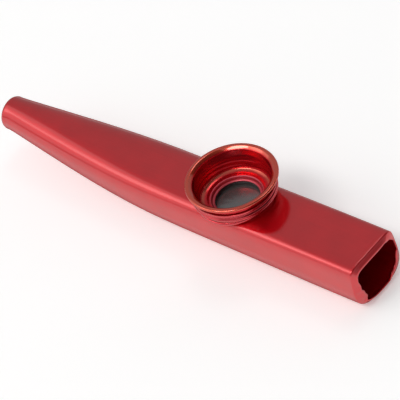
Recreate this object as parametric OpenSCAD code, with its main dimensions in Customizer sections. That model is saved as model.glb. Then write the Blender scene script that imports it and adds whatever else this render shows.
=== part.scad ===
// Metal kazoo: a tapered tube, round at the mouth and flat-topped at the bell, with a turret
// on its deck. A thin screw cap in the turret's collar clamps the buzzing film on its seat.
// The mouth is at the low end of X, the bell at the high end, and the belly rests on z = 0.

/* [Body] */
// Length of the body from mouth to bell
body_l = 120; // [110:1:135]
// Width of the body where its sides run parallel
body_w = 17.8; // [17.6:0.1:19]
// Height of the flat deck over the lowest line of the belly
deck_h = 13.9; // [13:0.1:15.5]
// Thickness of the tube's sheet
sheet_t = 0.5; // [0.4:0.05:0.6]
// Length over which the sides open out from the mouth
side_taper_l = 56; // [45:1:70]
// Length over which the belly drops and the crown falls to the deck
belly_taper_l = 64; // [55:1:75]
// Length of S curve that the tapers have already run at the mouth
taper_lead = 37; // [20:1:60]
// Length over which the round tube becomes flat-topped
crease_l = 104; // [85:1:106]
// Squareness of the upper half at the bell, where 2 is an ellipse
deck_square = 7.6; // [7:0.1:9]
// Squareness of the lower half at the bell
belly_square = 2.45; // [2:0.05:2.7]
// How late the squareness comes along the crease, where 1 is evenly
crease_power = 1.45; // [1:0.05:1.6]
// How far each side leans in from the middle of its height up to the deck, at the bell
side_lean = 0.4; // [0:0.05:0.6]

/* [Mouth] */
// Outer diameter of the mouth tube
mouth_d = 8.6; // [8:0.1:9.4]
// Length of the straight stretch of the mouth tube
mouth_straight_l = 3; // [2:0.1:5]
// Height of the mouth's crown over the deck
mouth_rise = 1.3; // [0:0.05:2]
// Radius of the turned-in mouth edge
mouth_edge_r = 0.8; // [0.6:0.05:1]
// Depth of the turned-in mouth edge, from the outside of the tube
mouth_edge_depth = 0.95; // [0.85:0.05:1.3]

/* [Bell] */
// How much farther the bell's end reaches at the belly than at the deck
bell_slant = 0.85; // [0:0.05:1.5]
// Radius of the bend where the bell's rim is turned in
rim_r = 0.8; // [0.7:0.05:1]
// Depth of the turned-in rim on the near side, from the outside of the tube
rim_depth = 1.9; // [1.6:0.05:2.2]
// How much deeper the rim is under the deck than at the sides, and shallower at the belly
rim_swing = 0.6; // [0:0.05:0.7]
// How much shallower the rim is on the far side
rim_slack = 0.6; // [0:0.05:0.7]
// How much deeper the rim is where its sheet puckers, low on the near side
pucker_depth = 1.3; // [0:0.05:1.4]
// Place of that pucker around the rim, in degrees up from the far side
pucker_turn = 199; // [190:1:225]
// Half of the arc that it takes, in degrees
pucker_span = 25; // [15:1:40]
// The same three for the shallower pucker low on the far side
far_pucker_depth = 0.9; // [0:0.05:1.2]
// Place of the far pucker, in degrees up from the far side
far_pucker_turn = 325; // [315:1:340]
// Half of the arc that the far pucker takes, in degrees
far_pucker_span = 45; // [20:1:50]

/* [Collar] */
// Distance of the turret's axis ahead of the middle of the body
turret_x = 17.2; // [10:0.1:25]
// Diameter over the crests of the collar's rolled thread, outside
thread_d = 22; // [21.7:0.05:22.4]
// Depth of the rolled thread
thread_depth = 0.4; // [0.35:0.05:0.45]
// Rise of the thread in one turn
pitch = 1.25; // [1.1:0.05:1.4]
// Height over the deck where the thread starts, on the collar and on the cap
thread_low = 1.2; // [1.1:0.05:1.3]
// Thickness of the collar's sheet
collar_t = 0.3; // [0.25:0.05:0.35]
// Height of the collar over the deck
collar_h = 4.2; // [4:0.1:4.6]
// How far the collar's wall is drawn in at its foot
foot_tuck = 1.1; // [0.9:0.05:1.2]
// Height over which it is drawn in
foot_tuck_h = 2; // [1.8:0.1:2.2]
// Radius of the bead round the collar's foot
foot_bead_r = 0.5; // [0.45:0.05:0.55]
// Height of the middle of that bead over the deck, at the sides of the tube
foot_bead_z = 0.1; // [0:0.05:0.2]
// How much higher it stands ahead of the turret and behind it
foot_bead_rise = 1.05; // [0.8:0.05:1.2]
// How far that bead stands out past the foot of the wall
foot_bead_out = 0.8; // [0.7:0.05:0.9]
// Thickness of the web that lies on the deck
web_t = 0.25; // [0.25:0.05:0.35]
// Outer diameter of the neck that goes down through the deck
neck_d = 14.5; // [14.2:0.1:14.6]
// Thickness of the neck's wall
neck_t = 0.3; // [0.25:0.05:0.35]
// Depth of the neck under the deck
neck_depth = 2.2; // [2.1:0.05:2.5]
// How far the neck's lower edge is flared out under the deck
flare = 0.35; // [0.25:0.05:0.4]
// Height of the flare
flare_h = 0.4; // [0.3:0.05:0.45]
// Diameter of the hole in the seat that the film lies on
seat_hole_d = 10.8; // [10:0.1:11.2]
// Thickness of the seat
seat_t = 0.3; // [0.25:0.05:0.35]

/* [Film] */
// Thickness of the film
film_t = 0.1; // [0.08:0.01:0.12]
// Thickness of the film's stiff ring
film_ring_t = 0.4; // [0.3:0.05:0.45]
// Radial width of the film's stiff ring
film_ring_w = 0.95; // [0.8:0.05:1.1]
// Thickness of the loose washer on the film's ring
washer_t = 0.35; // [0.3:0.05:0.35]
// Radial width of the washer
washer_w = 0.95; // [0.8:0.05:1.1]

/* [Cap] */
// Diameter over the rolled lip
lip_d = 24; // [23.6:0.1:25]
// Height of the lip's middle over the deck
lip_z = 6.4; // [6.2:0.1:8]
// Radius of the rolled bead at the lip's edge
lip_bead_r = 0.45; // [0.35:0.05:0.5]
// Thickness of the cap's sheet
cap_t = 0.3; // [0.25:0.05:0.35]
// Width of the lip, from the outside of the wall under it to its edge
lip_w = 1.6; // [1.5:0.05:1.7]
// Height over the collar's top edge where the cap's thread runs out
thread_over = 0.3; // [0.2:0.05:0.4]
// Diameter of the hole with the rolled edge in the cap's floor
cap_hole_d = 11.6; // [11.2:0.1:12]
// Height of the rolled edge of that hole
hole_roll_h = 0.5; // [0.4:0.05:0.6]
// Width of the flat land between the cap's dip and the slope of its floor
dip_land_w = 1; // [0.8:0.05:1.2]
// Rise of the cap's floor from that land out to its wall
floor_rise = 0.2; // [0.15:0.05:0.3]

/* [Hidden] */

// Colours
anodised_red = "firebrick";
deep_red = "darkred";
film_grey = "dimgray";
ring_dark = "darkslategray";
washer_grey = "gray";

// Clearances between pieces, and one overrun for every cut
hole_gap = 0.05;
thread_gap = 0.1;
spigot_gap = 0.1;
seat_gap = 0.05;
floor_gap = 0.05;
over = 1;

// Number of points round a body section and round a threaded sheet
body_sides = 56;
cap_sides = 60;
rows_per_pitch = 6;
thread_phase_share = 0.13;
bead_steps = 9;
round_fn = 96;

// Places that follow from the sizes above
mouth_r = mouth_d / 2;
crown_z = deck_h + mouth_rise;
mouth_z = crown_z - mouth_r;
mouth_end_x = -body_l / 2;
bell_end_x = body_l / 2;
neck_r = neck_d / 2;
neck_in_r = neck_r - neck_t;
collar_root_r = thread_d / 2 - thread_depth;
root_r = collar_root_r - collar_t - thread_gap;
crest_r = root_r + thread_depth;
thread_z = deck_h + thread_low;
seat_z = deck_h - neck_depth + seat_t;
film_ring_z = seat_z + film_t;
washer_z = film_ring_z + film_ring_t + seat_gap;
roll_z = washer_z + washer_t + seat_gap;
inner_fit_r = neck_in_r - spigot_gap;
cap_floor_z = deck_h + web_t + floor_gap;

// Smooth step from 0 to 1
function ease(t) = let (u = min(1, max(0, t))) u * u * (3 - 2 * u);
// S curve from 0 at the end of the mouth's straight stretch to 1 at "end", already under way at 0
function s_curve(x, end) =
    let (begun = ease(taper_lead / (end + taper_lead)))
    (ease((x + taper_lead) / (end + taper_lead)) - begun) / (1 - begun);

// The body's section at a distance along the body, measured from the mouth's straight stretch
function half_w(x) = mouth_r + (body_w / 2 - mouth_r) * s_curve(max(0, x), side_taper_l);
function top_z(x) = deck_h + mouth_rise * (1 - ease(x / belly_taper_l));
function low_z(x) = (crown_z - mouth_d) * (1 - s_curve(max(0, x), belly_taper_l));
function half_h(x) = (top_z(x) - low_z(x)) / 2;
function crease_share(x) = pow(min(1, max(0, x) / crease_l), crease_power);
function squareness(x, full) = 2 + (full - 2) * crease_share(x);
function power(v, n) = sign(v) * pow(abs(v), 2 / n);

// A point of the section at angle a, moved inwards by "inset". Past the crease the sections lean
// back more and more, until the last one has the bell's slant.
function section_point(along, inset, a) =
    let (
        x = along - mouth_straight_l,
        n = squareness(x, sin(a) > 0 ? deck_square : belly_square),
        across = power(cos(a), n),
        up = power(sin(a), n),
        lean = side_lean * crease_share(x) * max(0, up),
        z = (top_z(x) + low_z(x)) / 2 + (half_h(x) - inset) * up,
        slant = bell_slant * max(0, (along - crease_l) / (body_l - crease_l))
    )
    [mouth_end_x + along - slant * z / deck_h, (half_w(x) - inset - lean) * across, z];

// How deep the rim is at angle a, with its two puckers
function pucker(a, depth, turn, span) = depth * ease(2 - 2 * abs(a - turn) / span);
function rim_inset(a) =
    rim_depth
    + rim_swing * sin(a)
    - rim_slack * max(0, cos(a))
    + pucker(a, pucker_depth, pucker_turn, pucker_span)
    + pucker(a, far_pucker_depth, far_pucker_turn, far_pucker_span);

// A ring of the body's shell: how far along it is, how far in, and how much of the rim's depth it takes
function ring(along, inset, rim_part) = [
    for (i = [0 : body_sides - 1])
        let (a = 360 * i / body_sides)
        section_point(along, inset + rim_part * (rim_inset(a) - inset), a)
];

// Faces between the rings of a closed tube whose last ring meets its first
function loop_faces(rings, sides) = [
    for (k = [0 : rings - 1], i = [0 : sides - 1])
        let (
            a = k * sides + i,
            b = k * sides + (i + 1) % sides,
            c = ((k + 1) % rings) * sides + (i + 1) % sides,
            d = ((k + 1) % rings) * sides + i
        )
        each [[a, c, b], [a, d, c]]
];
// Faces between the rings of a solid plug, with its two ends closed
function plug_faces(rings, sides) = [
    for (k = [0 : rings - 2], i = [0 : sides - 1])
        let (
            a = k * sides + i,
            b = k * sides + (i + 1) % sides
        )
        each [[a, a + sides, b + sides], [a, b + sides, b]],
    [for (i = [0 : sides - 1]) i],
    [for (i = [sides - 1 : -1 : 0]) (rings - 1) * sides + i]
];

// Places along the body where its shell has a ring: close in the tapers, wide where it is straight.
// The shell starts inside the wall of the mouth tube and comes out through it before its end.
shell_joint_l = 1;
shell_joint_inset = 0.04;
taper_step = 4;
straight_step = 11;
taper_end = max(side_taper_l, belly_taper_l) + mouth_straight_l;
shell_start = mouth_straight_l - shell_joint_l;
taper_rings = [for (x = [mouth_straight_l + shell_joint_l : taper_step : taper_end]) x];
straight_rings = [for (x = [taper_end + taper_step : straight_step : body_l - rim_r - sheet_t]) x];
stations = concat(taper_rings, straight_rings);
count = len(stations);
rim_edge = 0.12;
rim_edge_share = 0.92;

module shell() {
    outer = [for (x = stations) ring(x, 0, 0)];
    bend = [for (a = [0, 30, 60, 90]) ring(body_l - rim_r * (1 - sin(a)), rim_r * (1 - cos(a)), 0)];
    flange = [
        ring(body_l, rim_r, rim_edge_share),
        ring(body_l - rim_edge, 0, 1),
        ring(body_l - sheet_t + rim_edge, 0, 1),
        ring(body_l - sheet_t, rim_r, rim_edge_share),
        ring(body_l - sheet_t, rim_r, 0),
        ring(body_l - rim_r, sheet_t, 0)
    ];
    inner = [for (i = [count - 1 : -1 : 0]) ring(stations[i], sheet_t, 0)];
    joint = [
        ring(mouth_straight_l, sheet_t + shell_joint_inset, 0),
        ring(shell_start, sheet_t - shell_joint_inset, 0),
        ring(shell_start, shell_joint_inset, 0),
        ring(mouth_straight_l, -shell_joint_inset, 0)
    ];
    rings = concat(outer, bend, flange, inner, joint);
    polyhedron([for (r = rings) each r], loop_faces(len(rings), body_sides), convexity = 8);
}

// Straight mouth tube with its edge turned in, as a turned shape about X
module mouth_tube() {
    edge_steps = [0 : 15 : 90];
    outline = concat(
        [for (a = edge_steps) [mouth_r - mouth_edge_r + mouth_edge_r * sin(a), mouth_edge_r * (1 - cos(a))]],
        [
            [mouth_r, mouth_straight_l],
            [mouth_r - sheet_t, mouth_straight_l],
            [mouth_r - sheet_t, mouth_edge_r],
            [mouth_r - mouth_edge_r, sheet_t],
            [mouth_r - mouth_edge_depth, sheet_t],
            [mouth_r - mouth_edge_depth, 0]
        ]
    );
    translate([mouth_end_x, 0, mouth_z])
        rotate([0, 90, 0])
        rotate_extrude($fn = round_fn)
        polygon(outline);
}

module body() {
    color(anodised_red)
    difference() {
        union() {
            shell();
            mouth_tube();
        }
        translate([turret_x, 0, deck_h - neck_depth - over])
            cylinder(r = neck_r + hole_gap, h = neck_depth + 2 * over, $fn = round_fn);
    }
}

// The rolled thread: how far a threaded sheet swells out at height z and angle a, from 0 to 1. It
// starts plain and narrow at "run_in", follows the wave and ends plain and wide at "run_out".
fade_l = pitch / 2;
function wave(z, a) = (1 + cos(360 * ((z - deck_h) / pitch - thread_phase_share) - a)) / 2;
function swell(z, a, run_in, run_out) =
    let (ended = ease((run_out - z) / fade_l))
    ease((z - run_in) / fade_l) * (ended * wave(z, a) + 1 - ended);

// How far the wall is drawn in at height z, near its foot
function tuck(z) = foot_tuck * (1 - ease((z - deck_h) / foot_tuck_h));

// A plug with the collar's thread on its outside, round which "wall" is taken off
module threaded_plug(low, high, wall) {
    steps = ceil((high - low) / pitch * rows_per_pitch);
    points = [
        for (k = [0 : steps], i = [0 : cap_sides - 1])
            let (
                z = low + (high - low) * k / steps,
                a = 360 * i / cap_sides,
                r = collar_root_r - wall - tuck(z) + thread_depth * swell(z, a, thread_z, deck_h + collar_h)
            )
            [r * cos(a), r * sin(a), z]
    ];
    polyhedron(points, plug_faces(steps + 1, cap_sides), convexity = 4);
}

// The bead round the collar's foot. It dips at the sides, where the tube falls away under it.
module foot_bead() {
    middle_r = collar_root_r - foot_tuck + foot_bead_out - foot_bead_r;
    points = [
        for (k = [0 : bead_steps - 1], i = [0 : cap_sides - 1])
            let (
                around = 360 * k / bead_steps,
                a = 360 * i / cap_sides,
                r = middle_r + foot_bead_r * cos(around),
                z = foot_bead_z + foot_bead_rise * pow(cos(a), 2) + foot_bead_r * sin(around)
            )
            [r * cos(a), r * sin(a), deck_h + z]
    ];
    polyhedron(points, loop_faces(bead_steps, cap_sides), convexity = 4);
}

// The collar stands on the deck's crown, and its neck is flared out under the deck
module turret_collar() {
    color(deep_red)
    translate([turret_x, 0, 0])
    difference() {
        union() {
            threaded_plug(deck_h, deck_h + collar_h, 0);
            foot_bead();
            translate([0, 0, deck_h - neck_depth])
                cylinder(r = neck_r, h = neck_depth + web_t, $fn = round_fn);
            translate([0, 0, deck_h - neck_depth])
                cylinder(r1 = neck_r + flare, r2 = neck_r, h = flare_h, $fn = round_fn);
        }
        threaded_plug(deck_h + web_t, deck_h + collar_h + over, collar_t);
        translate([0, 0, seat_z])
            cylinder(r = neck_in_r, h = neck_depth + over, $fn = round_fn);
        translate([0, 0, deck_h - neck_depth - over])
            cylinder(d = seat_hole_d, h = seat_t + 2 * over, $fn = round_fn);
    }
}

module flat_ring(outer_r, width, z, thick) {
    translate([turret_x, 0, z])
    difference() {
        cylinder(r = outer_r, h = thick, $fn = round_fn);
        translate([0, 0, -over])
            cylinder(r = outer_r - width, h = thick + 2 * over, $fn = round_fn);
    }
}

module membrane_film() {
    color(film_grey)
    translate([turret_x, 0, seat_z])
        cylinder(r = inner_fit_r, h = film_t, $fn = round_fn);
}

module membrane_ring() {
    color(ring_dark)
    flat_ring(inner_fit_r, film_ring_w, film_ring_z, film_ring_t);
}

module pressure_washer() {
    color(washer_grey)
    flat_ring(inner_fit_r, washer_w, washer_z, washer_t);
}

// An arc of outline points [r, z, weight] about a centre, from angle a0 to a1
function arc(cr, cz, rad, a0, a1, steps) = [
    for (k = [0 : steps]) let (a = a0 + (a1 - a0) * k / steps) [cr + rad * cos(a), cz + rad * sin(a), 0]
];

// The cap is one thin sheet, given by a closed outline of [radius, height, thread weight]. The
// outline runs up the outside, over the lip and down the inside.
dip_r = inner_fit_r;
roll_r = (dip_r - cap_hole_d / 2) / 2;
roll_mid_r = dip_r - roll_r;
cone_in_r = dip_r + dip_land_w;
lip_neck_r = lip_d / 2 - lip_w;
// The fold of the lip, under it and on its top: how far out from its neck and up from its middle,
// in shares of the sheet's thickness
lip_under_shares = [[0, -2], [0.5, -0.5], [1.5, 0]];
lip_top_shares = [[2.5, 0.5], [1, 1], [0, 0.8], [-0.7, 0.2], [-1, -1]];
module screw_cap() {
    floor_top = cap_floor_z + cap_t;
    foot_z = cap_floor_z + floor_rise;
    run_out = deck_h + collar_h + thread_over;
    thread_rows = ceil((run_out - thread_z) / pitch * rows_per_pitch);
    corner_z = foot_z + cap_t;
    corner_rows = 3;
    lip_mid = deck_h + lip_z;
    lip_bead_x = lip_d / 2 - lip_bead_r;

    roll = [
        for (a = [180 : 30 : 360])
            [roll_mid_r + roll_r * cos(a), roll_z + hole_roll_h / 2 * (1 + sin(a)), 0]
    ];
    underside = [
        [dip_r, cap_floor_z - floor_gap, 0],
        [dip_r + cap_t, cap_floor_z, 0],
        [cone_in_r, cap_floor_z, 0],
        [root_r - cap_t - tuck(foot_z), foot_z, 0]
    ];
    corner_out = [
        for (k = [0 : corner_rows - 1])
            let (z = corner_z + (thread_z - corner_z) * k / corner_rows)
            [root_r - tuck(z), z, 0]
    ];
    thread_out = [
        for (k = [0 : thread_rows])
            let (z = thread_z + (run_out - thread_z) * k / thread_rows)
            [root_r - tuck(z), z, 1]
    ];
    lip_under = [for (s = lip_under_shares) [lip_neck_r + cap_t * s[0], lip_mid + cap_t * s[1], 0]];
    lip_bead = arc(lip_bead_x, lip_mid, lip_bead_r, 215, 475, 10);
    lip_top = [for (s = lip_top_shares) [lip_neck_r + cap_t * s[0], lip_mid + cap_t * s[1], 0]];
    thread_in = [for (k = [thread_rows : -1 : 0]) [thread_out[k][0] - cap_t, thread_out[k][1], 1]];
    inside = [
        [root_r - cap_t - tuck(corner_z), corner_z + cap_t / 2, 0],
        [root_r - cap_t * 2 - tuck(foot_z), corner_z, 0],
        [cone_in_r, floor_top, 0],
        [dip_r, floor_top, 0],
        [dip_r - cap_t, floor_top - cap_t / 2, 0],
        [dip_r - cap_t, roll_z + hole_roll_h, 0]
    ];
    roll_top = [
        for (a = [60 : 30 : 150])
            [roll_mid_r + roll_r * cos(a), roll_z + hole_roll_h / 2 * (1 + sin(a)), 0]
    ];
    wall_top_out = [[crest_r, run_out + cap_t, 0]];
    wall_top_in = [[crest_r - cap_t, run_out + cap_t, 0]];
    outline = concat(roll, underside, corner_out, thread_out, wall_top_out, lip_under,
        lip_bead, lip_top, wall_top_in, thread_in, inside, roll_top);
    points = [
        for (p = outline, i = [0 : cap_sides - 1])
            let (
                a = 360 * i / cap_sides,
                r = p[0] + p[2] * thread_depth * swell(p[1], a, thread_z, run_out)
            )
            [r * cos(a), r * sin(a), p[1]]
    ];
    color(anodised_red)
    translate([turret_x, 0, 0])
        polyhedron(points, loop_faces(len(outline), cap_sides), convexity = 8);
}

body();
turret_collar();
membrane_film();
membrane_ring();
pressure_washer();
screw_cap();
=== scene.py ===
"""A metal kazoo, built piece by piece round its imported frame, on a plain pale floor."""

import math

import bpy
import numpy as np
from mathutils import Matrix, Vector


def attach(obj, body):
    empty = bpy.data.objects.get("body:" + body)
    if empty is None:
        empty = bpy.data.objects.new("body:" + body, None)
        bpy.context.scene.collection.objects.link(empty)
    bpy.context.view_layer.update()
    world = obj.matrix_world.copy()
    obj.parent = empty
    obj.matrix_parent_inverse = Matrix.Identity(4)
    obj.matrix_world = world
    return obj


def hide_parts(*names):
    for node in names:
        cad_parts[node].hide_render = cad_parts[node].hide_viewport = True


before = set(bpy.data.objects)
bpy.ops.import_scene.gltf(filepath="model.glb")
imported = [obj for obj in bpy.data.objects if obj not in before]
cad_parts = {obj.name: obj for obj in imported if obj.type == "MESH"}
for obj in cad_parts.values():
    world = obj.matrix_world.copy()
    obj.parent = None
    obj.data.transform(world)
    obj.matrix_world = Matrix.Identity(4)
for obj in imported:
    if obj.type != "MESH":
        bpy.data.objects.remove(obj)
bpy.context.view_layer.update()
scene = bpy.context.scene
scene.view_settings.view_transform = "Standard"

# Camera
# It stands a metre off, ahead of the bell and to the right of the tube, looks down steeply and is
# rolled a little, so that the tube runs from the upper left to the lower right.
turn, height, roll = np.radians([51.53, 42.96, -18.2])
aim = np.array([0, 0, 0.010])
camera_off, shift_across, shift_up = 0.98922, 0.00289, -0.00363
back = np.array([math.sin(turn) * math.cos(height), -math.cos(turn) * math.cos(height), math.sin(height)])
level = np.cross([0, 0, 1], back)
level /= np.linalg.norm(level)
plumb = np.cross(back, level)
across = math.cos(roll) * level + math.sin(roll) * plumb
upward = math.cos(roll) * plumb - math.sin(roll) * level
place = aim + camera_off * back + shift_across * across + shift_up * upward
camera = bpy.data.objects.new("camera", bpy.data.cameras.new("camera"))
camera.data.lens = 354.2
camera.data.clip_start = 0.01
camera.matrix_world = Matrix(np.block([
    [np.column_stack([across, upward, back]), place[:, None]],
    [np.zeros((1, 3)), np.ones((1, 1))],
]).tolist())
scene.collection.objects.link(camera)
scene.camera = camera

# Tube
# The body is one aluminium tube, drawn to a taper, pressed flat on top and turned in at both ends.
# It was polished, then dyed red as it was anodised, so its colour is a clear skin over bright metal.

# Sizes in millimetres, which MM turns into metres
MM = 0.001
body_l = 120.0
body_w = 17.8
deck_h = 13.9
sheet_t = 0.5

# How the round mouth grows into the flat-topped bell
side_taper_l = 54.0
belly_taper_l = 63.0
taper_lead = 50.0
crease_l = 104.0
crease_power = 1.45
deck_square = 7.6
belly_square = 2.8
side_lean = 0.4

# Mouth
mouth_r = 4.5
mouth_rise = 1.15
straight_l = 1.5
mouth_reach = 0.6
mouth_reach_l = 3.0
mouth_edge_r = 0.8
mouth_edge_depth = 0.95
mouth_edge_round = 0.08

# Bell: its rim bends inwards, slopes forward to its edge and is puckered at three places, each with
# an extra depth, an angle about the tube in degrees and a span
bell_end = body_l + 0.5
bell_slant = 0.3
rim_r = 0.5
rim_run = 0.8
rim_depth = 1.45
rim_swing = 0.15
rim_slack = 0.55
rim_lip_share = 0.75
rim_edge_share = 0.9
rim_swell_share = 0.1
far_pull = 0.5
bend_end = 60.0
bend_mid = bell_end - rim_run - rim_r * math.sin(math.radians(bend_end))
bend_inset = rim_r * (1 - math.cos(math.radians(bend_end)))
puckers = [(1.3, 199.0, 25.0), (0.9, 325.0, 45.0), (0.5, 42.0, 40.0)]

# Hole in the deck, and the punch that cuts it
turret_x = 17.2
neck_hole_r = 7.3
punch_h = 4.0
punch_mid_z = 13.2


def ease(t):
    """Smooth step: u squared times three less twice u, with u held between 0 and 1."""
    u = np.clip(t, 0, 1)
    return u * u * (3 - 2 * u)


def s_curve(x, end):
    """The smooth step over end plus the lead, rescaled so that it is 0 at x = 0 and 1 at x = end."""
    begun = ease(taper_lead / (end + taper_lead))
    return (ease((x + taper_lead) / (end + taper_lead)) - begun) / (1 - begun)


def tube_section(along, inset, rim_part, phi):
    """Points of the tube's section at each place along it (rows) and polar angle phi (columns).

    The section is a superellipse: its share of the width and its share of the height, each to the
    power n, add up to one. The deck's half has one n and the belly's another, and both grow from 2
    at the mouth. Each point goes inwards by its inset, or by rim_part of the rim's depth.
    """
    along, inset, rim_part = (np.asarray(v, float)[:, None] for v in (along, inset, rim_part))
    x = along - straight_l
    wide = mouth_r + (body_w / 2 - mouth_r) * s_curve(np.maximum(x, 0), side_taper_l)
    top = deck_h + mouth_rise * (1 - ease(x / belly_taper_l))
    low = (deck_h + mouth_rise - 2 * mouth_r) * (1 - s_curve(np.maximum(x, 0), belly_taper_l))
    tall = (top - low) / 2
    share = np.clip(x / crease_l, 0, 1) ** crease_power
    n = 2 + (np.where(np.sin(phi) > 0, deck_square, belly_square) - 2) * share
    reach = (np.abs(np.cos(phi) / wide) ** n + np.abs(np.sin(phi) / tall) ** n) ** (-1 / n)
    side, up = reach * np.cos(phi) / wide, reach * np.sin(phi) / tall

    # The angle round the section as if it were a circle, which places the rim's depths and puckers
    up_part = np.sign(up) * np.abs(up) ** (n / 2)
    side_part = np.sign(side) * np.abs(side) ** (n / 2)
    a = np.degrees(np.arctan2(up_part, side_part)) % 360
    far = np.maximum(0, np.cos(np.radians(a)))
    rim = rim_depth + rim_swing * np.sin(np.radians(a)) - rim_slack * far
    for depth, turn_to, span in puckers:
        rim = rim + depth * ease(2 - 2 * np.abs(a - turn_to) / span)
    inset = inset + rim_part * (rim - inset)

    lean = side_lean * share * np.maximum(0, up)
    z = (top + low) / 2 + (tall - inset) * up
    slant = bell_slant * np.clip((along - crease_l) / (body_l - crease_l), 0, None)
    reached = mouth_reach * np.clip(1 - along / mouth_reach_l, 0, 1)
    leant = along - body_l / 2 - slant * z / deck_h - reached - rim_part * far_pull * far
    return np.stack([leant, (wide - inset - lean) * side, z + 0 * side], axis=-1)


def grid_mesh(name, points):
    """A piece whose mesh is quads over a grid of points. Rows and columns close on themselves."""
    rows, cols = points.shape[:2]
    k, i = np.meshgrid(np.arange(rows), np.arange(cols), indexing="ij")
    k2, i2 = (k + 1) % rows, (i + 1) % cols
    quads = np.stack([k * cols + i, k2 * cols + i, k2 * cols + i2, k * cols + i2], axis=-1)
    mesh = bpy.data.meshes.new(name)
    mesh.from_pydata((points.reshape(-1, 3) * MM).tolist(), [], quads.reshape(-1, 4).tolist())
    mesh.polygons.foreach_set("use_smooth", np.ones(len(mesh.polygons), bool))
    piece = bpy.data.objects.new(name, mesh)
    scene.collection.objects.link(piece)
    return piece


def combined(piece, tool, operation):
    """Cuts the tool out of the piece, or joins it on, and removes the tool."""
    step = piece.modifiers.new("combined", "BOOLEAN")
    step.object, step.operation, step.solver = tool, operation, "EXACT"
    bpy.context.view_layer.update()
    result = piece.evaluated_get(bpy.context.evaluated_depsgraph_get())
    mesh = bpy.data.meshes.new_from_object(result)
    piece.modifiers.clear()
    piece.data = mesh
    bpy.data.objects.remove(tool)


def plain_rows(places, inset):
    """Rows of (along, inset, rim share) along the tube at one inset."""
    return np.column_stack([places, inset + 0 * places, 0 * places])


def bend_rows(radius, angles):
    """Rows round the bend at the bell, on one face of the sheet: the place along the tube grows with
    the angle's sine times the face's radius, and the inset grows as its cosine falls."""
    t = np.radians(angles)
    return np.column_stack([bend_mid + radius * np.sin(t), rim_r - radius * np.cos(t), 0 * t])


def slope_rows(edge_at, shares):
    """Rows on a face of the rim's slope, a straight line that ends at the given place along the tube."""
    return [(edge_at - rim_run * (1 - s), bend_inset, s * rim_lip_share) for s in shares]


def edge_rows():
    """Rows round the rim's rolled edge, half a turn from its front to its rear: the place along the
    tube follows the angle's cosine, and the share of the rim's depth swells by its sine."""
    t = np.radians(np.arange(15, 180, 15))
    places = bell_end - sheet_t / 2 + sheet_t / 2 * np.cos(t)
    return np.column_stack([places, bend_inset + 0 * t, rim_edge_share + rim_swell_share * np.sin(t)])


# The sheet's faces, row by row: round the mouth's bend, along the outside, round the bell's rim, and
# back along the inside to the mouth's turned-in edge
straight_from, outer_step, inner_step = 1.1, 0.9, 2.0
outer_gap, inner_gap = 0.2, 1.0
quarter = np.radians(np.arange(0, 91, 9))
mouth_bend = np.column_stack([
    mouth_edge_r * (1 - np.cos(quarter)), mouth_edge_r * (1 - np.sin(quarter)), 0 * quarter
])
mouth_inside = [
    (mouth_edge_r, sheet_t, 0),
    (sheet_t + mouth_edge_round, mouth_edge_r - mouth_edge_round, 0),
    (sheet_t, mouth_edge_depth - mouth_edge_round, 0),
    (sheet_t - mouth_edge_round, mouth_edge_depth, 0),
    (mouth_edge_round, mouth_edge_depth, 0),
    (0, mouth_edge_depth - mouth_edge_round, 0),
]
outline = np.vstack([
    mouth_bend,
    plain_rows(np.linspace(straight_from, straight_l, 3), 0),
    plain_rows(np.arange(straight_l + outer_step, bend_mid - outer_gap, outer_step), 0),
    bend_rows(rim_r, np.linspace(0, bend_end, 8)),
    slope_rows(bell_end, (0.25, 0.5, 0.75, 1.0)),
    edge_rows(),
    slope_rows(bell_end - sheet_t, (1.0, 0.5)),
    bend_rows(rim_r - sheet_t, np.linspace(bend_end, 0, 5)),
    plain_rows(np.arange(bend_mid - inner_gap, straight_l, -inner_step), sheet_t),
    mouth_inside,
])
tube = grid_mesh("tube", tube_section(*outline.T, np.radians(np.arange(0, 360, 1.5))))

bpy.ops.mesh.primitive_cylinder_add(
    vertices=160,
    radius=neck_hole_r * MM,
    depth=punch_h * MM,
    location=(turret_x * MM, 0, punch_mid_z * MM),
)
combined(tube, bpy.context.object, "DIFFERENCE")


def maths(tree, operation, *values):
    """The output of a maths node, whose inputs are numbers or the outputs of other nodes."""
    node = tree.nodes.new("ShaderNodeMath")
    node.operation = operation
    for socket, value in zip(node.inputs, values):
        if isinstance(value, (int, float)):
            socket.default_value = value
        else:
            tree.links.new(value, socket)
    return node.outputs[0]


def mapped(tree, value, low, high, start, end, kind="LINEAR"):
    """A value mapped from one range to another, in a straight line or by the smooth step."""
    ramp = tree.nodes.new("ShaderNodeMapRange")
    ramp.interpolation_type = kind
    for socket, number in zip(ramp.inputs[1:5], (low, high, start, end)):
        socket.default_value = number
    tree.links.new(value, ramp.inputs["Value"])
    return ramp.outputs["Result"]


def noise(tree, vector, scale, detail=2.0):
    """The output of a noise texture at the given places."""
    node = tree.nodes.new("ShaderNodeTexNoise")
    node.inputs["Scale"].default_value = scale
    node.inputs["Detail"].default_value = detail
    tree.links.new(vector, node.inputs["Vector"])
    return node.outputs["Fac"]


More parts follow.
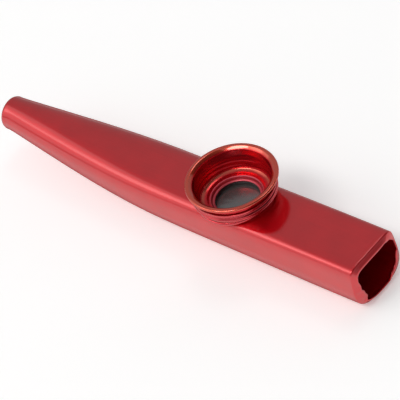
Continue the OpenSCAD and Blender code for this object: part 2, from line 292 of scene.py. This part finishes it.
def draw_lines():
    """A group for drawn metal: fine lines that run along the tube, and the dull patches of handling.
    Each is a noise that swings about nought, added by a share of its own to roughness and shade."""
    group = bpy.data.node_groups.new("drawn metal", "ShaderNodeTree")
    for name, kind in [("Roughness", "Float"), ("Patches", "Float"), ("Across", "Vector")]:
        group.interface.new_socket(name, in_out="INPUT", socket_type="NodeSocket" + kind)
    for name in ("Roughness", "Height", "Shade"):
        group.interface.new_socket(name, in_out="OUTPUT", socket_type="NodeSocketFloat")
    given, made = group.nodes.new("NodeGroupInput"), group.nodes.new("NodeGroupOutput")
    place_at = group.nodes.new("ShaderNodeTexCoord").outputs["Object"]
    stretch = group.nodes.new("ShaderNodeVectorMath")
    stretch.operation = "MULTIPLY"
    group.links.new(place_at, stretch.inputs[0])
    group.links.new(given.outputs["Across"], stretch.inputs[1])
    lines = noise(group, stretch.outputs[0], scale=1.0, detail=3.0)
    patches = noise(group, place_at, scale=130.0, detail=4.0)
    line_swing = maths(group, "SUBTRACT", lines, 0.5)
    patch_swing = maths(group, "SUBTRACT", patches, 0.5)
    line_rough, line_shade, patch_shade = 0.06, 0.12, 0.3
    lined = maths(group, "MULTIPLY_ADD", line_swing, line_rough, given.outputs["Roughness"])
    rough = maths(group, "MULTIPLY_ADD", patch_swing, given.outputs["Patches"], lined)
    shaded = maths(group, "MULTIPLY_ADD", line_swing, line_shade, 1.0)
    shade = maths(group, "MULTIPLY_ADD", patch_swing, patch_shade, shaded)
    for name, value in [("Roughness", rough), ("Height", lines), ("Shade", shade)]:
        group.links.new(value, made.inputs[name])
    return group


drawn_metal = draw_lines()


def new_material(name):
    """A new material, with its node tree and its surface's shader."""
    material = bpy.data.materials.new(name)
    material.use_nodes = True
    return material, material.node_tree, material.node_tree.nodes["Principled BSDF"]


def dyed_metal(name, colour, metallic, roughness, patches, stretch, coat, coat_roughness, bump):
    """Anodised aluminium: dyed metal under a clear hard skin, with drawn lines through the metal. A
    near black edge tint darkens it towards its outline and the skin's gloss fades there too: painted
    shade for a dark outline."""
    material, tree, metal = new_material(name)
    metal.inputs["Metallic"].default_value = metallic
    # Near black edge tint: painted shade that darkens the metal towards its outline
    metal.inputs["Specular Tint"].default_value = (0.05, 0.02, 0.02, 1)
    metal.inputs["Coat IOR"].default_value = 1.75
    metal.inputs["Coat Roughness"].default_value = coat_roughness
    glance = tree.nodes.new("ShaderNodeLayerWeight").outputs["Facing"]
    fade_from, fade_to = 0.58, 0.86
    tree.links.new(mapped(tree, glance, fade_from, fade_to, coat, 0.0), metal.inputs["Coat Weight"])
    effect = tree.nodes.new("ShaderNodeGroup")
    effect.node_tree = drawn_metal
    effect.inputs["Roughness"].default_value = roughness
    effect.inputs["Patches"].default_value = patches
    effect.inputs["Across"].default_value = stretch
    shade = tree.nodes.new("ShaderNodeVectorMath")
    shade.operation = "SCALE"
    shade.inputs[0].default_value = colour
    tree.links.new(effect.outputs["Shade"], shade.inputs["Scale"])
    tree.links.new(shade.outputs[0], metal.inputs["Base Color"])
    tree.links.new(effect.outputs["Roughness"], metal.inputs["Roughness"])
    relief = tree.nodes.new("ShaderNodeBump")
    relief.inputs["Strength"].default_value = bump
    relief.inputs["Distance"].default_value = 0.00002
    tree.links.new(effect.outputs["Height"], relief.inputs["Height"])
    tree.links.new(relief.outputs["Normal"], metal.inputs["Normal"])
    return material


shell_red = dyed_metal(
    "shell red",
    colour=(0.68, 0.004, 0.012),
    metallic=0.85,
    roughness=0.44,
    patches=0.08,
    stretch=(60, 2500, 2500),
    coat=1.0,
    coat_roughness=0.14,
    bump=0.08,
)
tube.data.materials.clear()
tube.data.materials.append(shell_red)
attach(tube, "instrument")
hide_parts("body")

# Collar
# A thin threaded sleeve of dyed aluminium stands on the deck. Its foot is drawn in above a bead that
# follows the tube, and its neck goes down through the deck, where it is flared out and holds the
# film's seat.

# Sizes, with heights over the deck
thread_r = 11.0
thread_depth = 0.4
pitch = 1.25
thread_start = 0.13
thread_low = 1.2
collar_t = 0.3
collar_h = 4.2
collar_root_r = thread_r - thread_depth
collar_round_z = collar_h - collar_t / 2
foot_tuck = 1.1
foot_tuck_h = 2.0
foot_bead_r = 0.5
foot_bead_mid = 9.8
foot_bead_z = 0.1
foot_bead_rise = 1.05
neck_r = 7.25
neck_in_r = 6.95
neck_low = -2.2
neck_bevel = 0.15
flare_r = neck_r + 0.25
flare_edge_r = 0.1
flare_h = 0.5
seat_r = 5.4
seat_z = -1.9
web_t = 0.25


def arc(cu, cv, radius, start, end, count):
    """Points (u, v) on an arc about a centre, from one angle to another in degrees."""
    t = np.radians(np.linspace(start, end, count))
    return np.column_stack([cu + radius * np.cos(t), cv + radius * np.sin(t)])


def swell(z, angle, run_in, run_out):
    """Share of the thread's depth at a height and an angle that runs clockwise: a helical cosine
    wave that begins at run_in from the plain root and ends at run_out in the plain crest, each over
    half a pitch."""
    wave = (1 + np.cos(2 * np.pi * (z / pitch - thread_start) + angle)) / 2
    ended = ease((run_out - z) / (pitch / 2))
    return ease((z - run_in) / (pitch / 2)) * (ended * wave + 1 - ended)


def tuck(z):
    """How far the wall is drawn in near its foot: a smooth step down to nothing at its height."""
    return foot_tuck * (1 - ease(z / foot_tuck_h))


def wall(radius, low, high, count):
    """Points up a wall of the given root radius, drawn in at its foot."""
    z = np.linspace(low, high, count)
    return np.column_stack([radius - tuck(z), z])


def even_steps(points, step, closed=False):
    """A line of (radius, height) points laid out again at even steps along its length. If the line
    is closed, the last step leads back to the first point."""
    line = np.vstack([points, points[:1]]) if closed else points
    length = np.concatenate([[0], np.cumsum(np.hypot(*np.diff(line, axis=0).T))])
    at = np.linspace(0, length[-1], int(length[-1] / step), endpoint=not closed)
    return np.column_stack([np.interp(at, length, column) for column in line.T])


def turned(name, outline, threaded=lambda z, angle: 0, lifted=lambda angle: 0):
    """A closed outline of (radius, height over the deck) turned about the turret's axis. A thread
    swells its radius, and it may be lifted by an amount that changes with the angle."""
    angle = np.linspace(0, 2 * np.pi, 240, endpoint=False)
    r, z = outline[:, :1], outline[:, 1:]
    r = r + threaded(z, angle)
    z = z + lifted(angle) + 0 * angle
    points = np.stack([turret_x + r * np.cos(angle), -r * np.sin(angle), deck_h + z], axis=-1)
    return grid_mesh(name, points)


collar_outline = np.vstack([
    [[seat_r, neck_low], [flare_r, neck_low]],
    arc(flare_r, neck_low + flare_edge_r, flare_edge_r, -90, 45, 6),
    [[neck_r, neck_low + flare_h], [neck_r, 0]],
    wall(collar_root_r, 0, collar_round_z, 40),
    arc(collar_root_r - collar_t / 2, collar_round_z, collar_t / 2, 0, 180, 9),
    wall(collar_root_r - collar_t, web_t, collar_round_z, 40)[::-1],
    [[neck_in_r + neck_bevel, web_t], [neck_in_r, web_t - neck_bevel]],
    [[neck_in_r, seat_z], [seat_r, seat_z]],
])
collar = turned(
    "threaded_collar",
    even_steps(collar_outline, 0.09, closed=True),
    threaded=lambda z, angle: thread_depth * swell(z, angle, thread_low, collar_h),
)
foot_bead = turned(
    "foot_bead",
    arc(foot_bead_mid, foot_bead_z, foot_bead_r, 0, 345, 24),
    lifted=lambda angle: foot_bead_rise * np.cos(angle) ** 2,
)
combined(collar, foot_bead, "UNION")
collar.data.set_sharp_from_angle(angle=math.radians(40))
cap_red = dyed_metal(
    "cap red",
    colour=(0.66, 0.006, 0.02),
    metallic=0.85,
    roughness=0.2,
    patches=0.05,
    stretch=(900, 900, 900),
    coat=0.95,
    coat_roughness=0.12,
    bump=0.03,
)
collar.data.materials.clear()
collar.data.materials.append(cap_red)
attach(collar, "instrument")
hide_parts("turret_collar")

# Film, its ring and the washer
# A grey waxed film is bonded to a card ring and lies on the collar's seat. A loose washer of bare
# sheet keeps the cap from twisting the film as it is screwed down. Ring and washer are coloured
# near black, as painted shade for where they show under the cap's rolled hole edge.
ring_r = 6.85
ring_in_r = 5.9
film_flat_r = 6.8
film_hub_r = 0.02
film_low, film_high = 0.005, 0.095
film_sag = 0.03
film_creases = [(0.004, 9, 0), (0.003, 13, 1)]
film_ring_low, film_ring_high, film_ring_round = -1.8, -1.4, 0.08
washer_low, washer_high, washer_round = -1.35, -1.0, 0.1


def film_surface():
    """A disc of rings about the axis, out over its top and back under it. The top's height falls
    with the square of the radius to the middle and carries faint radial creases, each a height times
    the sine of a count of the angle from a start, which fade at the centre and the rim."""
    angle = np.linspace(0, 2 * np.pi, 180, endpoint=False)
    out, home = np.linspace(film_hub_r, film_flat_r, 40), np.linspace(film_flat_r, film_hub_r, 12)
    r = np.concatenate([out, [ring_r, ring_r], home])[:, None]
    under = (np.arange(len(r)) > len(out))[:, None]
    crease = sum(high * np.sin(count * angle + start) for high, count, start in film_creases)
    sag = -film_sag * (1 - (r / ring_r) ** 2) + crease * np.sin(np.pi * np.clip(r / ring_r, 0, 1)) ** 2
    z = seat_z + np.where(under, film_low + np.maximum(sag, 0), film_high + sag)
    return np.stack([turret_x + r * np.cos(angle), -r * np.sin(angle), deck_h + z], axis=-1)[::-1]


def toned(tree, value, dark, light):
    """A colour that goes from dark to light with a value."""
    tone = tree.nodes.new("ShaderNodeValToRGB")
    tone.color_ramp.elements[0].color = (*dark, 1)
    tone.color_ramp.elements[1].color = (*light, 1)
    tree.links.new(value, tone.inputs["Fac"])
    return tone.outputs["Color"]


film = grid_mesh("film", film_surface())
film_material, tree, wax = new_material("waxed film")
wax.inputs["Roughness"].default_value = 0.2
wax.inputs["Specular IOR Level"].default_value = 0.9
wax.inputs["Coat Weight"].default_value = 1.0
wax.inputs["Coat IOR"].default_value = 1.9
wax.inputs["Coat Roughness"].default_value = 0.2
fibre = noise(tree, tree.nodes.new("ShaderNodeTexCoord").outputs["Object"], 700.0, 5.0)
grey = toned(tree, fibre, (0.05, 0.043, 0.043), (0.078, 0.067, 0.066))
tree.links.new(grey, wax.inputs["Base Color"])
film.data.materials.append(film_material)
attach(film, "instrument")
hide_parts("membrane_film")


def ring_outline(low, high, round_r):
    """The section of a flat ring: a rectangle whose four corners are quarter circles."""
    corners = [(ring_r - round_r, low + round_r, -90), (ring_r - round_r, high - round_r, 0),
               (ring_in_r + round_r, high - round_r, 90), (ring_in_r + round_r, low + round_r, 180)]
    return np.vstack([arc(u, v, round_r, start, start + 90, 5) for u, v, start in corners])


def plain_material(name, dark, light, scale, metallic, roughness):
    """A quiet finish whose tone and roughness drift between two values over the surface."""
    material, tree, shader = new_material(name)
    shader.inputs["Metallic"].default_value = metallic
    drift = noise(tree, tree.nodes.new("ShaderNodeTexCoord").outputs["Object"], scale)
    rough_drift = 0.08
    rough = mapped(tree, drift, 0.0, 1.0, roughness - rough_drift, roughness + rough_drift)
    tree.links.new(toned(tree, drift, dark, light), shader.inputs["Base Color"])
    tree.links.new(rough, shader.inputs["Roughness"])
    return material


film_ring = turned("film_ring", ring_outline(film_ring_low, film_ring_high, film_ring_round))
# Near black: painted shade for where the ring shows under the cap's rolled hole edge
dark_card = plain_material(
    "card darkened as painted shade",
    dark=(0.03, 0.026, 0.026),
    light=(0.05, 0.042, 0.042),
    scale=900,
    metallic=0,
    roughness=0.7,
)
film_ring.data.materials.append(dark_card)
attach(film_ring, "instrument")
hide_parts("membrane_ring")

washer = turned("loose_washer", ring_outline(washer_low, washer_high, washer_round))
# Near black for bare sheet: painted shade for where the washer shows under the cap's rolled hole edge
shade_darkened_sheet = plain_material(
    "sheet darkened as painted shade",
    dark=(0.08, 0.07, 0.07),
    light=(0.13, 0.12, 0.12),
    scale=500,
    metallic=1,
    roughness=0.42,
)
washer.data.materials.append(shade_darkened_sheet)
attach(washer, "washer")
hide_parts("pressure_washer")

# Screw cap
# The cap is pressed from thin sheet and dyed like the tube. Its lip is rolled outwards, its wall
# carries the thread, and its floor steps down from a ledge to a hole whose edge is rolled under.
cap_t = 0.3
thread_gap = 0.1
cap_root_r = collar_root_r - collar_t - thread_gap
cap_crest_r = cap_root_r + thread_depth
run_out = collar_h + 0.3
foot_z = 0.38

# Ripple that the thread leaves on the wall's inside
ripple_share = 0.36
ripple_full_z = 2.5
ripple_fade_h = 0.9

# Hole's edge, rolled under: the middle, height and radius of the roll's outer and inner faces
hole_roll_mid, hole_roll_z, hole_roll_r = 6.325, -0.425, 0.525
hole_inner_mid, hole_inner_z, hole_inner_r = 6.2, -0.65, 0.35

# Floor from the hole's edge out to the ledge, and the wall's inside above it
dip_r = 6.85
floor_z = 0.3
floor_top_z = floor_z + 0.17
bowl_r = 7.5
ledge_r = 8.8
ledge_z = 0.86
dish_r = 9.25
dish_top_r = 10.14

# Lip: its roll, and points of the sheet's two faces, measured from where it leaves the wall
lip_r = 12.0
lip_mid = 6.4
lip_neck = [lip_r - 1.6, lip_mid]
lip_roll_r = 0.48
lip_roll_rise = 0.02
lip_under = [[0.02, -0.8], [0, -0.55], [0.1, -0.32], [0.32, -0.12], [0.6, 0.04]]
lip_over = [[0.75, 0.5], [0.53, 0.44], [0.3, 0.27], [0.05, 0.07], [-0.15, -0.1], [-0.26, -0.23]]
lip_throat = [[-0.3, -0.45], [-0.28, -0.8]]


def dish(count):
    """Points down the wall's inside: its radius grows from foot to top by a smooth step."""
    z = np.linspace(run_out, ledge_z + 0.12, count)
    return np.column_stack([dish_r + (dish_top_r - dish_r) * ease((z - ledge_z) / (run_out - ledge_z)), z])


def bowl(count):
    """Points from the ledge's edge inwards: the floor falls to its level part by a parabola."""
    r = np.linspace(ledge_r, bowl_r, count)
    fall = ((r - bowl_r) / (ledge_r - bowl_r)) ** 2
    return np.column_stack([r, floor_top_z + (ledge_z - floor_top_z) * fall])


# Lip: up from the thread's crest, round the roll and down to the wall's inside
lip = np.vstack([
    [[cap_crest_r, run_out + 0.02], [cap_crest_r, run_out + 0.3]],
    np.array(lip_under) + lip_neck,
    arc(lip_r - lip_roll_r, lip_mid + lip_roll_rise, lip_roll_r, 215, 462, 34),
    np.array(lip_over + lip_throat) + lip_neck,
    [[dish_top_r, run_out + 0.3], [dish_top_r, run_out + 0.02]],
])

# Underneath: the hole's rolled edge, the floor, and the foot of the wall below the thread
underside = np.vstack([
    arc(hole_roll_mid, hole_roll_z, hole_roll_r, 180, 360, 16),
    [[dip_r, floor_z - 0.05], [dip_r + 0.3, floor_z], [dip_r + 1, floor_z]],
    [[cap_root_r - cap_t - float(tuck(foot_z)), foot_z]],
    wall(cap_root_r, foot_z + 0.3, thread_low - 0.02, 6),
])
outer_side = np.vstack([
    even_steps(underside, 0.08),
    wall(cap_root_r, thread_low, run_out, 44),
    even_steps(lip, 0.07),
])

# Inside the cup: the ledge, the bowl, the dip round the hole and the inner face of its roll
inner_floor = np.vstack([
    [[dish_r - 0.05, ledge_z + 0.08], [ledge_r + 0.08, ledge_z + 0.07]],
    bowl(16),
    [[dip_r + 0.3, floor_z + 0.2], [dip_r, floor_z + 0.18], [dip_r - 0.22, floor_z + 0.08]],
    [[dip_r - 0.3, floor_z - 0.1], [dip_r - 0.3, hole_inner_z + 0.15]],
    arc(hole_inner_mid, hole_inner_z, hole_inner_r, 60, 150, 8),
])
cap_outline = np.vstack([outer_side, dish(60), even_steps(inner_floor, 0.06)])
inner_rows = len(outer_side) - 5


def cap_thread(z, angle):
    """The thread's swell between where it starts and where it has run out. On the rows of the wall's
    inside the sheet has flowed: only a weak ripple is left there, and it fades upwards."""
    full = swell(z, angle, thread_low, run_out)
    faded = ease((z - ripple_full_z) / ripple_fade_h)
    ripple = ripple_share * swell(z, angle, ledge_z, run_out) * (1 - faded)
    inside = (np.arange(len(z)) > inner_rows)[:, None]
    return np.where(z < run_out + 0.001, thread_depth * np.where(inside, ripple, full), 0)


def tinted(tree, over, colour, share):
    """One colour laid over another by a share that changes over the surface."""
    mix = tree.nodes.new("ShaderNodeMix")
    mix.data_type = "RGBA"
    tree.links.new(share, mix.inputs["Factor"])
    tree.links.new(over, mix.inputs[6])
    mix.inputs[7].default_value = (*colour, 1)
    return mix.outputs[2]


cap = turned("threaded_cap", cap_outline, cap_thread)
cap_dye_and_highlights = dyed_metal(
    "cap dye and painted highlights",
    colour=(0.66, 0.008, 0.018),
    metallic=0.75,
    roughness=0.2,
    patches=0.05,
    stretch=(900, 900, 900),
    coat=0.9,
    coat_roughness=0.09,
    bump=0.02,
)

# Painted highlights: a coppery tint over the lip and the ledge's edge, and a pale pink one on the
# rolled edge of the hole, stand in for the orange and pink light that these places catch. The rolled
# edge is also duller. All follow the distance from the axis and the height.
tree = cap_dye_and_highlights.node_tree
metal = tree.nodes["Principled BSDF"]
lip_painted_highlight, ledge_painted_highlight, roll_painted_sheen = (0.7, 0.07, 0.03), (0.66, 0.11, 0.07), (0.66, 0.09, 0.12)
lip_from_z, lip_to_z = 6.2, 6.6
roll_pale_r, roll_plain_r = 6.75, 6.95
thin_skin, roll_dulling = 0.3, 0.25
at = tree.nodes.new("ShaderNodeTexCoord").outputs["Object"]
flat = tree.nodes.new("ShaderNodeVectorMath")
flat.operation = "MULTIPLY_ADD"
flat.inputs[1].default_value = (1, 1, 0)
flat.inputs[2].default_value = (-turret_x * MM, 0, 0)
tree.links.new(at, flat.inputs[0])
length = tree.nodes.new("ShaderNodeVectorMath")
length.operation = "LENGTH"
tree.links.new(flat.outputs[0], length.inputs[0])
radius = length.outputs["Value"]
parts = tree.nodes.new("ShaderNodeSeparateXYZ")
tree.links.new(at, parts.inputs[0])
lip_from, lip_to = (deck_h + lip_from_z) * MM, (deck_h + lip_to_z) * MM
lip_share = mapped(tree, parts.outputs["Z"], lip_from, lip_to, 0.0, 1.0, "SMOOTHSTEP")
ledge_in = mapped(tree, radius, (bowl_r + 0.4) * MM, (ledge_r - 0.1) * MM, 0.0, 1.0, "SMOOTHSTEP")
ledge_out = mapped(tree, radius, ledge_r * MM, (ledge_r + 0.25) * MM, 1.0, 0.0, "SMOOTHSTEP")
roll_share = mapped(tree, radius, roll_pale_r * MM, roll_plain_r * MM, 1.0, 0.0, "SMOOTHSTEP")
# The dye's colour, with the painted highlight tints laid over it
dyed = metal.inputs["Base Color"].links[0].from_socket
dyed = tinted(tree, dyed, lip_painted_highlight, lip_share)
dyed = tinted(tree, dyed, ledge_painted_highlight, maths(tree, "MULTIPLY", ledge_in, ledge_out))
dyed = tinted(tree, dyed, roll_painted_sheen, roll_share)
tree.links.new(dyed, metal.inputs["Base Color"])

# The clear skin is thin inside the cup and whole on the lip
skin = metal.inputs["Coat Weight"].links[0].from_socket
skin_share = mapped(tree, parts.outputs["Z"], lip_from, lip_to, thin_skin, 1.0, "SMOOTHSTEP")
tree.links.new(maths(tree, "MULTIPLY", skin, skin_share), metal.inputs["Coat Weight"])
polish = metal.inputs["Roughness"].links[0].from_socket
tree.links.new(maths(tree, "MULTIPLY_ADD", roll_share, roll_dulling, polish), metal.inputs["Roughness"])
cap.data.materials.append(cap_dye_and_highlights)
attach(cap, "cap")
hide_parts("screw_cap")

# Floor
# A plain white floor, on which the shadow stays. What the camera and mirrors see of it is a little
# whiter than what it gives back to the kazoo as plain light.
bpy.ops.mesh.primitive_plane_add(size=6, location=(0, 0, -0.0002))
floor = bpy.context.object
floor.name = "floor"
floor_material, tree, paint = new_material("pale floor")
paint.inputs["Base Color"].default_value = (0.88, 0.88, 0.88, 1)
paint.inputs["Roughness"].default_value = 0.9
paint.inputs["Emission Color"].default_value = (1, 1, 1, 1)


def seen_or_mirrored(tree):
    """One where a surface is seen by the camera, in a mirror or through glass, and nought elsewhere."""
    rays = tree.nodes.new("ShaderNodeLightPath").outputs
    seen = maths(tree, "MAXIMUM", rays["Is Camera Ray"], rays["Is Glossy Ray"])
    return maths(tree, "MAXIMUM", seen, rays["Is Transmission Ray"])


whitening = 0.28
whitened = maths(tree, "MULTIPLY", seen_or_mirrored(tree), whitening)
tree.links.new(whitened, paint.inputs["Emission Strength"])
floor.data.materials.append(floor_material)

# Light
# A large soft lamp stands at the left front with a brighter one over its middle, and two smaller
# ones stand high in front and high behind. A matt black card behind the camera gives the metal
# something dark to mirror, and an even pale sky fills the rest.

# Each lamp's name, direction from the kazoo, distance, width and height, and power in watts
lamps = [
    ("left lamp", (-0.53, -0.53, 0.5), 3.0, (3.0, 3.0), 16.0),
    ("left lamp core", (-0.53, -0.53, 0.65), 2.9, (1.1, 1.1), 4.6),
    ("near lamp", (0.02, -0.54, 0.84), 3.0, (1.9, 0.7), 28.0),
    ("top lamp", (-0.155, 0.455, 0.877), 3.2, (0.8, 0.8), 5.0),
]
card_towards, card_away = (0.63, 0.2, 0.70), 3.0
card_w, card_h = 5.2, 2.8
lit_strength, seen_strength = 0.55, 0.4


def facing_back(towards, away):
    """Where a flat lamp or card stands that faces the kazoo: in a direction, so many metres away."""
    direction = Vector(towards).normalized()
    faced = direction.to_track_quat("Z", "Y").to_matrix().to_4x4()
    return Matrix.Translation(direction * away) @ faced


for name, towards, away, size, power in lamps:
    lamp = bpy.data.objects.new(name, bpy.data.lights.new(name, "AREA"))
    lamp.data.shape = "RECTANGLE"
    lamp.data.size, lamp.data.size_y = size
    lamp.data.energy = power
    lamp.data.color = (1.0, 0.97, 0.94)
    lamp.matrix_world = facing_back(towards, away)
    scene.collection.objects.link(lamp)

bpy.ops.mesh.primitive_plane_add(size=1)
card = bpy.context.object
card.name = "dark_card"
card.data.transform(facing_back(card_towards, card_away) @ Matrix.Diagonal((card_w, card_h, 1, 1)))
card_material, tree, black = new_material("matt black card")
black.inputs["Base Color"].default_value = (0.03, 0.03, 0.03, 1)
black.inputs["Roughness"].default_value = 1.0
card.data.materials.append(card_material)
card.visible_camera = False

world = bpy.data.worlds.new("world")
world.use_nodes = True
scene.world = world
tree = world.node_tree
sky = tree.nodes["Background"]
sky.inputs["Color"].default_value = (0.96, 0.98, 1, 1)
strength = mapped(tree, seen_or_mirrored(tree), 0.0, 1.0, lit_strength, seen_strength)
tree.links.new(strength, sky.inputs["Strength"])

bpy.context.view_layer.update()
